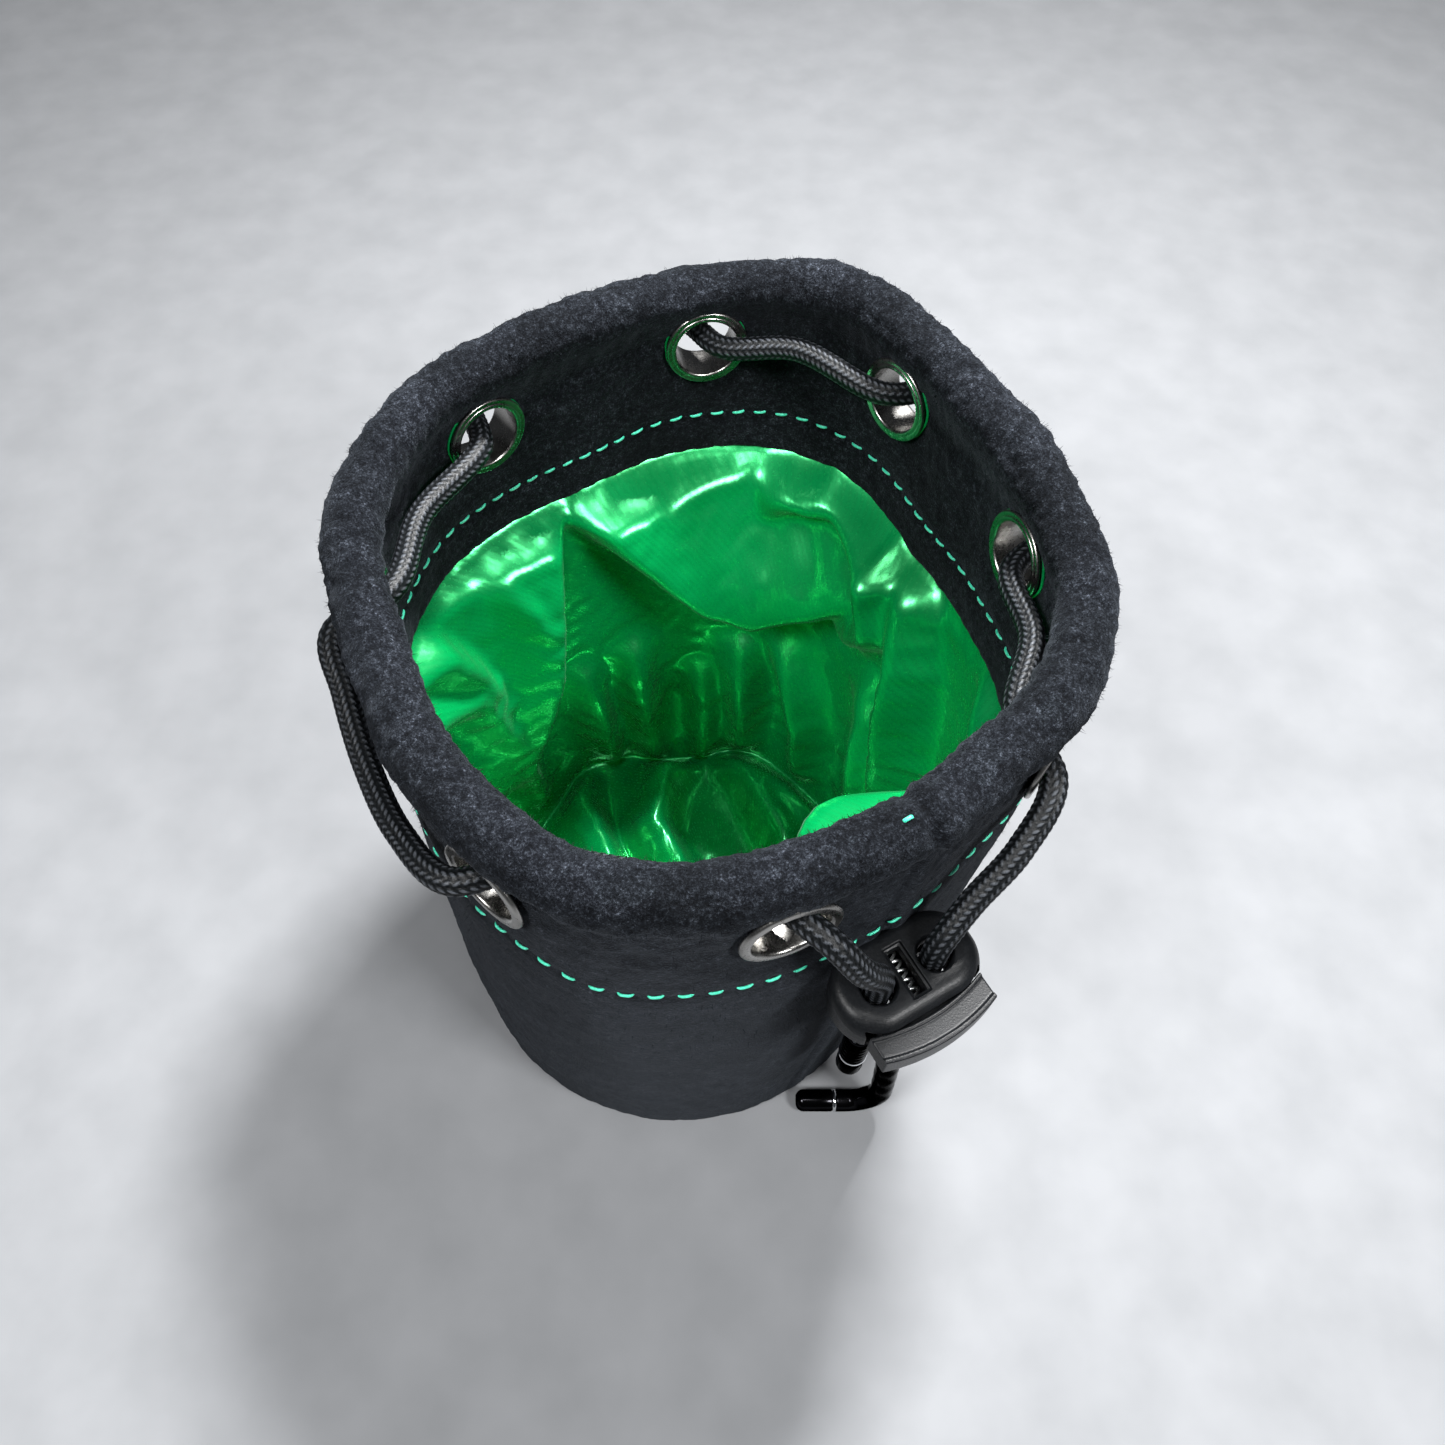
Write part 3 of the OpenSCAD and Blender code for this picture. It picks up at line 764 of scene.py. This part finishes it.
def lining_inset(a, z):
    """How far the slack satin stands in from the wall."""
    x = np.radians((90 - a + 180) % 360 - 180) * CLOTH_R
    folds = np.zeros(np.shape(x))
    for line, height, left, right in WALL_FOLDS:
        for turn in (-1, 0, 1):
            shifted = x + turn * math.tau * CLOTH_R
            folds = np.maximum(folds, fold_height(shifted, z, line, height, left, right))
    free = smoothstep(CUFF_Z + 1 * MM, CUFF_Z - 5 * MM, z) * smoothstep(-2 * MM, 10 * MM, z)
    held = 2.1 * MM + 1.7 * MM * smoothstep(CUFF_Z, CUFF_Z - 5 * MM, z)
    pool = 3.4 + 2.0 * np.sin(np.radians(5 * a)) + 1.4 * np.sin(np.radians(8 * a + 50))
    return held + rounded(folds) * free + pool * MM * smoothstep(26 * MM, 6 * MM, z)


def rounded(field):
    """Evens out a field of rows that close around."""
    field = 0.5 * field + 0.25 * np.roll(field, 1, axis=1) + 0.25 * np.roll(field, -1, axis=1)
    padded = np.vstack([field[:1], field, field[-1:]])
    return 0.5 * field + 0.25 * padded[:-2] + 0.25 * padded[2:]


def lining_grid():
    """Rows of points down the lining's wall and in over its floor, and how far down the cloth each row is."""
    heights = np.concatenate([np.linspace(131, 101, 7), np.linspace(99, 5, 48)]) * MM
    angles = np.arange(LINING_AROUND) * 360 / LINING_AROUND
    a, z = np.meshgrid(angles, heights)
    wall = wall_point(a, z, lining_inset(a, z))
    rings = np.linspace(0.96, 0.03, 18)
    floor = wall[-1][None] * rings[:, None, None] * np.array([1, 1, 0])
    rise = np.zeros(floor.shape[:2])
    for line, height, left, right in FLOOR_FOLDS:
        rise = np.maximum(rise, fold_height(floor[..., 0], floor[..., 1], line, height, left, right))
    edge = smoothstep(0, 0.1, rings) * smoothstep(1.0, 0.85, rings)
    turned_up = 0.8 * MM * smoothstep(0.85, 0.96, rings)[:, None]
    floor[..., 2] = FLOOR_T + 0.6 * MM + rise * edge[:, None] + turned_up
    down = np.concatenate([heights[0] - heights, heights[0] + (1 - rings) * CLOTH_R])
    return np.concatenate([wall, floor]), down


def add_cloth_uv(sheet, down):
    """Cloth coordinates in metres: distance around, and distance down the cloth."""
    loops = np.empty(len(sheet.data.loops), int)
    sheet.data.loops.foreach_get("vertex_index", loops)
    columns = (loops % LINING_AROUND).reshape(-1, 4)
    over = (columns.max(axis=1) - columns.min(axis=1)) > LINING_AROUND / 2
    columns = columns + np.where((columns == 0) & over[:, None], LINING_AROUND, 0)
    u = columns.ravel() / LINING_AROUND * math.tau * CLOTH_R
    uv = sheet.data.uv_layers.new(name="cloth")
    uv.data.foreach_set("uv", np.column_stack([u, down[loops // LINING_AROUND]]).ravel().astype(np.float32))


def drape(sheet, held):
    """Lets the cloth settle under its weight, a little larger than its form, so that it buckles."""
    group = sheet.vertex_groups.new(name="held")
    for index, weight in enumerate(held):
        group.add([index], float(weight), "REPLACE")
    cloth = sheet.modifiers.new("drape", "CLOTH")
    settings = cloth.settings
    settings.quality = 5
    settings.mass = 0.2
    settings.tension_stiffness = 12
    settings.compression_stiffness = 12
    settings.shear_stiffness = 4
    settings.bending_stiffness = 0.8
    settings.vertex_group_mass = "held"
    settings.pin_stiffness = 1.0
    settings.shrink_min = CLOTH_SHRINK
    settings.shrink_max = CLOTH_SHRINK
    cloth.collision_settings.use_collision = False
    cloth.collision_settings.use_self_collision = False
    cloth.point_cache.frame_start = 1
    cloth.point_cache.frame_end = SIM_FRAMES
    for number in range(1, SIM_FRAMES + 1):
        bpy.context.scene.frame_set(number)
    apply_modifiers(sheet)
    bpy.context.scene.frame_set(1)
    sheet.vertex_groups.clear()


def keep_in_bag(points):
    """Cloth that sank into the wall or the floor lies on it instead."""
    points = points.copy()
    points[:, 2] = np.clip(points[:, 2], FLOOR_T + 0.5 * MM, None)
    middle = points[:, 2:] / BAG_H * MOUTH_LEAN
    out = points - middle
    out[:, 2] = 0
    reach = np.linalg.norm(out, axis=1)
    a = np.degrees(np.arctan2(out[:, 1], out[:, 0]))
    wall = wall_point(a, points[:, 2], 0) - middle
    limit = np.linalg.norm(wall[:, :2], axis=1) - np.where(points[:, 2] > CUFF_Z - 1 * MM, 2.1 * MM, 2.6 * MM)
    low = points[:, 2] < FLOOR_T + 1.5 * MM
    limit = np.minimum(limit, np.where(low, 47.2 * MM, 1))
    share = np.minimum(1, limit / np.maximum(reach, 1e-6))
    points[:, :2] = middle[:, :2] + out[:, :2] * share[:, None]
    return points


def make_lining(material):
    grid, down = lining_grid()
    faces = ring_faces(len(grid), LINING_AROUND)[:, ::-1]
    sheet = piece_of("lining", grid.reshape(-1, 3), faces, material)
    add_cloth_uv(sheet, down)
    z = grid[..., 2].ravel()
    held = np.where(z > CUFF_Z, 1.0, np.where(z > 12 * MM, WALL_HOLD, FLOOR_HOLD))
    held = np.maximum(held, smoothstep(2 * MM, 0, np.abs(z - 5 * MM)) * 0.8)
    set_points(sheet, grid.reshape(-1, 3) * SIM_SCALE)
    drape(sheet, held)
    set_points(sheet, keep_in_bag(points_of(sheet) / SIM_SCALE))
    fine = sheet.modifiers.new("fine", "SUBSURF")
    fine.levels = fine.render_levels = 1
    apply_modifiers(sheet)
    set_points(sheet, keep_in_bag(points_of(sheet)))
    open_at_eyelets(sheet)
    thick = sheet.modifiers.new("thick", "SOLIDIFY")
    thick.thickness = 0.3 * MM
    thick.offset = -1
    apply_modifiers(sheet)
    finish_piece(sheet, "bag", "satin", "lining_wall", "lining_bottom")
    return sheet


def open_at_eyelets(sheet):
    """Takes the cloth out of the eyelets' holes."""
    points = points_of(sheet)
    cut_out = np.zeros(len(points), bool)
    for angle in EYELET_ANGLES:
        local = points_in(on_wall(angle, EYELET_Z), points)
        in_hole = np.hypot(local[:, 0], local[:, 1]) < EYELET_HOLE_R + 1.0 * MM
        cut_out |= in_hole & (abs(local[:, 2]) < 20 * MM)
    mesh = bmesh.new()
    mesh.from_mesh(sheet.data)
    mesh.verts.ensure_lookup_table()
    bmesh.ops.delete(mesh, geom=[mesh.verts[i] for i in np.nonzero(cut_out)[0]], context="VERTS")
    mesh.to_mesh(sheet.data)
    mesh.free()


def points_in(place, points):
    """The points in the frame of a matrix."""
    inverse = np.array(place.inverted())
    return points @ inverse[:3, :3].T + inverse[:3, 3]


# ---- eyelets
def make_eyelets(metal):
    """Each eyelet is a barrel with a rolled flange, and a ring inside that the barrel's end rolls over."""
    end = CUFF_INSET + 1.9 * MM
    flange = [(EYELET_HOLE_R, -end + 0.5 * MM)]
    flange += [(EYELET_HOLE_R, 0.0)]
    flange += roll(EYELET_HOLE_R + 0.55 * MM, 0.45 * MM, 0.55 * MM, 180, 90, 6)
    flange += roll(EYELET_FLANGE_R - 0.55 * MM, 0.4 * MM, 0.55 * MM, 80, -25, 8)
    flange += [(EYELET_FLANGE_R - 0.6 * MM, 0.1 * MM), (EYELET_HOLE_R + 0.4 * MM, 0.08 * MM)]
    flange += [(EYELET_HOLE_R + 0.4 * MM, -end + 0.75 * MM)]
    flange += roll(EYELET_HOLE_R + 0.62 * MM, -end + 0.35 * MM, 0.35 * MM, 60, -90, 7)
    flange += roll(EYELET_HOLE_R + 0.45 * MM, -end + 0.45 * MM, 0.45 * MM, -90, -180, 5)
    rim = EYELET_FLANGE_R
    washer = [(EYELET_HOLE_R + 0.45 * MM, 0.0), (rim - 0.3 * MM, 0.0)]
    washer += roll(rim - 0.4 * MM, -0.42 * MM, 0.4 * MM, 75, -90, 9)
    washer += [(EYELET_HOLE_R + 1.0 * MM, -0.72 * MM), (EYELET_HOLE_R + 0.45 * MM, -0.75 * MM)]
    for index, angle in enumerate(EYELET_ANGLES, start=1):
        place = on_wall(angle, EYELET_Z)
        made = lathe(f"eyelet_{index}_barrel", flange, 64, place, metal)
        finish_piece(made, "bag", "eyelet_metal", f"eyelet_{index}")
        inside = place @ Matrix.Translation((0, 0, -CUFF_INSET - 1.0 * MM))
        made = lathe(f"eyelet_{index}_ring", washer, 64, inside, metal)
        finish_piece(made, "bag", "eyelet_metal", f"eyelet_washer_{index}")


def make_lining_edges(material):
    """Slivers of satin that show between each eyelet's ring and the cuff."""
    count, sides = 96, 6
    points, faces = [], []
    turn = np.arange(count) * math.tau / count
    for index, angle in enumerate(EYELET_ANGLES):
        place = on_wall(angle, EYELET_Z)
        around = [Vector((math.cos(t) * 2, math.sin(t) * 2, index * 3.1)) for t in turn]
        wobble = np.array([noise.noise(p) for p in around])
        reach = EYELET_FLANGE_R + (0.30 * np.clip(wobble + 0.1, -0.6, 1) - 0.12) * MM
        for r, t in zip(reach, turn):
            for k in range(sides):
                part = math.tau * k / sides
                x = r + 0.22 * MM * math.cos(part)
                h = -CUFF_INSET - 0.55 * MM + 0.28 * MM * math.sin(part)
                points.append(place @ Vector((x * math.cos(t), x * math.sin(t), h)))
        faces += list(ring_faces(count, sides, True)[:, ::-1] + index * count * sides)
    edges = piece_of("lining_edges", np.array(points), faces, material)
    edges.data.uv_layers.new(name="cloth")
    finish_piece(edges, "bag", "satin")


# ---- stitches
def stitch_mesh(place, length, radius, lift, seed):
    """Points of one stitch in its own frame: X along it, Z out of the leather."""
    rings, sides = 11, 8
    t = np.linspace(-1, 1, rings)
    wobble = noise.noise(Vector((seed, 0.3, 0.7))) * 0.12
    centre_h = lift * (1 - np.abs(t) ** 3.5 * 1.9)
    size = radius * (0.55 + 0.45 * np.sqrt(np.clip(1 - t ** 4, 0, 1))) * (1 + 0.1 * np.sin(t * 16))
    points = []
    for ti, hi, si in zip(t, centre_h, size):
        for k in range(sides):
            part = math.tau * k / sides
            points.append(place @ Vector((ti * length / 2, si * math.cos(part) + wobble * ti * MM,
                                          hi + 0.85 * si * math.sin(part))))
    return points, capped_faces(rings, sides)


def join_stitches(name, stitches, material):
    points, faces = [], []
    for made, quads in stitches:
        faces += [tuple(i + len(points) for i in f) for f in quads]
        points += made
    return piece_of(name, np.array(points), faces, material)


def make_hem(material):
    inward = Matrix.Rotation(math.pi, 4, "X")
    slant = Matrix.Rotation(math.radians(7), 4, "Z")
    stitches = []
    for i in range(HEM_COUNT):
        a = i * 360 / HEM_COUNT
        length = (2.7 + 0.3 * noise.noise(Vector((i * 0.9, 5, 2)))) * MM
        outside = on_wall(a, HEM_Z, HEM_SUNK) @ slant
        inside = on_wall(a, HEM_Z, CUFF_INSET - HEM_SUNK) @ inward @ slant
        stitches.append(stitch_mesh(outside, length, THREAD_R, THREAD_LIFT, i))
        stitches.append(stitch_mesh(inside, length, THREAD_R, THREAD_LIFT, i + 0.5))
    tack = on_wall(SIDE_SEAM_ANGLE - 3, BAG_H - 0.6 * MM, 2.0 * MM)
    over = Matrix.Rotation(math.radians(-80), 4, "X")
    stitches.append(stitch_mesh(tack @ over, 1.8 * MM, 0.28 * MM, 0.4 * MM, 99))
    hem = join_stitches("hem_stitches", stitches, material)
    finish_piece(hem, "bag", "mint_thread", "hem_stitching")


# ---- cord lock
def lock_frame():
    return Matrix.Translation(LOCK_AT) @ Matrix.Rotation(math.radians(LOCK_TURN), 4, "Z")


def pebble_points(w, d, h, corner, front_edge, back_edge):
    """Rings of a rounded oblong, whose edges are rounder towards -Y."""
    turns = np.radians(np.arange(0, 360, 4))
    centre_x = np.sign(np.cos(turns + 1e-6)) * (w / 2 - corner)
    centre_y = np.sign(np.sin(turns + 1e-6)) * (d / 2 - corner)
    front = np.clip(0.5 - np.sin(turns) * 0.9, 0, 1)
    edge = back_edge + (front_edge - back_edge) * front
    rows = []
    for lift in np.radians(np.arange(-90, 91, 9)):
        r = corner - edge * (1 - np.cos(lift))
        z = np.sign(lift) * (h / 2 - edge * (1 - np.abs(np.sin(lift))))
        rows.append(np.column_stack([centre_x + r * np.cos(turns), centre_y + r * np.sin(turns), z]))
    return rows


def solid_of(name, rows, material):
    """A closed solid from rings of points, with flat caps."""
    return piece_of(name, np.vstack(rows), capped_faces(len(rows), len(rows[0])), material)


def block(name, low, high, material):
    """A box between two corners, as a cutter or a part of a larger solid."""
    (x0, y0, z0), (x1, y1, z1) = low, high
    ring = [(x0, y0), (x1, y0), (x1, y1), (x0, y1)]
    return solid_of(name, [np.array([(*p, z) for p in ring]) for z in (z0, z1)], material)


def drum(name, x, y, profile, material, around=48):
    """A round cutter about an upright axis, from (radius, height) pairs."""
    turns = np.arange(around) * math.tau / around
    rows = [np.column_stack([x + r * np.cos(turns), y + r * np.sin(turns), np.full(around, z)])
            for r, z in profile]
    return solid_of(name, rows, material)


def arc_slab(name, back, front, arc_r, width, height, material):
    """A slab bounded by two shallow arcs, its outer one at y = front."""
    across = np.linspace(-width / 2, width / 2, 31)
    sag = arc_r - np.sqrt(arc_r ** 2 - across ** 2)
    outer = np.column_stack([across, front + sag])
    inner = np.column_stack([across, back + sag])[::-1]
    ring = np.vstack([outer, inner])
    return solid_of(name, [np.column_stack([ring, np.full(len(ring), z)]) for z in height], material)


def make_button_shell(material):
    """The curved button: one section of its depth and height, carried along a shallow arc."""
    back, front, arc_r, width = -6.9, -11.2, 30, 19.5
    section = np.array([
        (front, -2.7), (back, -2.7), (back, 2.45), (back - 0.15, 2.6), (back - 0.55, 2.6), (back - 0.7, 2.35),
        (front + 0.85, 2.35), (front + 0.7, 2.7), (front + 0.1, 2.7), (front, 2.55),
    ])
    rows = []
    for x in np.linspace(-width / 2, width / 2, 41):
        sag = arc_r - math.sqrt(arc_r ** 2 - x ** 2)
        rows.append(np.column_stack([np.full(len(section), x), section[:, 0] + sag, section[:, 1]]) * MM)
    return solid_of("lock_button", rows, material)


def make_lock(material, steel):
    w, d, h = 24 * MM, 14 * MM, 9 * MM
    hole_x, hole_r = 5 * MM, 2.6 * MM
    body = solid_of("lock_shell", pebble_points(w, d, h, 6.6 * MM, 3.3 * MM, 1.7 * MM), material)
    cutters = []
    for side in (-1, 1):
        wide = hole_r + 0.8 * MM
        profile = [(wide, -5.2 * MM), (hole_r, -3.9 * MM), (hole_r, 3.9 * MM), (wide, 5.2 * MM)]
        cutters.append(drum("hole", side * hole_x, 0, profile, material))
    cutters.append(block("slot", (-8 * MM, -14 * MM, -1.85 * MM), (8 * MM, 5.4 * MM, 1.85 * MM), material))
    mouth_h = 2.95 * MM
    cutters.append(arc_slab("mouth", -3.2 * MM, -20 * MM, 30 * MM, 20.1 * MM, (-mouth_h, mouth_h), material))
    cutters.append(block("window", (-1.1 * MM, -3.7 * MM, 0), (1.1 * MM, 3.7 * MM, 8 * MM), material))
    cutters.append(block("recess", (-1.6 * MM, -4.2 * MM, 4.0 * MM), (1.6 * MM, 4.2 * MM, 8 * MM), material))
    cut(body, cutters)
    soften(body, 0.16 * MM, 3)
    body.data.transform(lock_frame())
    finish_piece(body, "lock", "lock_plastic", "lock_body")

    button = make_button_shell(material)
    plate = block("plate", (-7.7 * MM, -8.1 * MM, -1.6 * MM), (7.7 * MM, 1.7 * MM, 1.6 * MM), material)
    cut(button, [plate], "UNION")
    cutters = []
    r = CORD_R + 0.12 * MM
    pressed = -PRESS_TRAVEL - 0.3 * MM
    strand = [(r, -4 * MM), (r, 4 * MM)]
    for x in (-hole_x, hole_x):
        cutters.append(drum("strand", x, 0, strand, material))
        cutters.append(drum("strand", x, pressed, strand, material))
        cutters.append(block("strand", (x - r, pressed, -4 * MM), (x + r, 0, 4 * MM), material))
    cutters.append(block("spring_slot", (-1.7 * MM, -4 * MM, -4 * MM), (1.7 * MM, 10 * MM, 4 * MM), material))
    cut(button, cutters)
    soften(button, 0.15 * MM, 2)
    button.data.transform(lock_frame())
    finish_piece(button, "plunger", "lock_plastic", "lock_plunger")

    turns, spring_r, wire_r = 6, 1.15 * MM, 0.25 * MM
    y0, y1 = -3.55 * MM, 4.95 * MM
    t = np.linspace(0, 1, turns * 28 + 1)
    pitch = np.clip((t - 0.06) / 0.88, 0, 1)
    turn = t * turns * math.tau
    rise = y0 + (y1 - y0) * (0.08 * t + 0.92 * pitch)
    helix = np.column_stack([spring_r * np.cos(turn), rise, spring_r * np.sin(turn)])
    spring = closed_tube("lock_coil", helix, wire_r, 12, steel)
    spring.data.transform(lock_frame())
    finish_piece(spring, "lock", "spring_steel", "lock_spring")
    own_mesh(spring)


# ---- stage
def make_stage():
    corners = [(-3, -3, 0), (3, -3, 0), (3, 3, 0), (-3, 3, 0)]
    floor = piece_of("floor", corners, [(0, 1, 2, 3)], floor_material(), False)
    world = bpy.data.worlds.new("studio")
    world.use_nodes = True
    sky = world.node_tree.nodes["Background"].inputs
    sky["Color"].default_value = (0.80, 0.85, 0.92, 1)
    sky["Strength"].default_value = 0.08
    bpy.context.scene.world = world
    bpy.context.scene.view_settings.view_transform = "Standard"
    lamp("key", (0.12, 0.20, 0.52), 0.08, 10.5)
    lamp("side", (0.30, -0.24, 0.50), 0.12, 3.5)
    lamp("front", (-0.24, -0.22, 0.56), 0.14, 3.6)
    lamp("top", (0.02, -0.10, 0.70), 0.10, 0.9)


def lamp(name, place, size, watts):
    data = bpy.data.lights.new(name, "AREA")
    data.energy = watts
    data.size = size
    light = bpy.data.objects.new(name, data)
    light.location = place
    light.rotation_euler = (Vector(LAMP_AIM) - Vector(place)).to_track_quat("-Z", "Y").to_euler()
    bpy.context.scene.collection.objects.link(light)


def floor_material():
    m = Nodes("floor_paper", specular_ior_level=0.2)
    grain = m.noise(60, 3, 0.5)
    m.colour(m.ramp(grain, (0.3, (0.160, 0.165, 0.172)), (0.7, (0.182, 0.187, 0.195))))
    m.roughness(0.85)
    return m.material


# ---- the whole bag
make_camera()
suede = suede_material()
satin = satin_material()
braid = braid_material()
mint = thread_material("mint_thread", (0.01, 0.34, 0.20), (0.07, 0.66, 0.44))
black_thread = thread_material("black_thread", (0.006, 0.006, 0.007), (0.02, 0.02, 0.022))
green_thread = thread_material("green_thread", (0.0, 0.16, 0.04), (0.01, 0.36, 0.10))
gunmetal = metal_material("eyelet_metal", (0.22, 0.215, 0.205), (0.36, 0.35, 0.335), 0.22, 0.36)
steel = metal_material("spring_steel", (0.80, 0.81, 0.83), (0.95, 0.96, 0.97), 0.25, 0.40)
bright = metal_material("bright_ring", (0.70, 0.71, 0.73), (0.85, 0.86, 0.88), 0.05, 0.15)
plastic = lock_material()
gloss = gloss_material()

cord, cord_line = make_cord(braid)
tails = make_tails(gloss, bright)
wall = make_suede(suede)
make_nap(wall, suede)
make_lining(satin)
make_eyelets(gunmetal)
make_lining_edges(satin)
make_hem(mint)
make_lock(plastic, steel)

CARRIED = {
    "base_disc": suede, "base_insert": board_material(), "base_stitching": black_thread,
    "side_seam_thread": mint, "lining_seam_thread": green_thread, "lining_tack": green_thread,
}
for node, finish in CARRIED.items():
    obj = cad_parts[node]
    obj.data.materials.clear()
    obj.data.materials.append(finish)

make_stage()
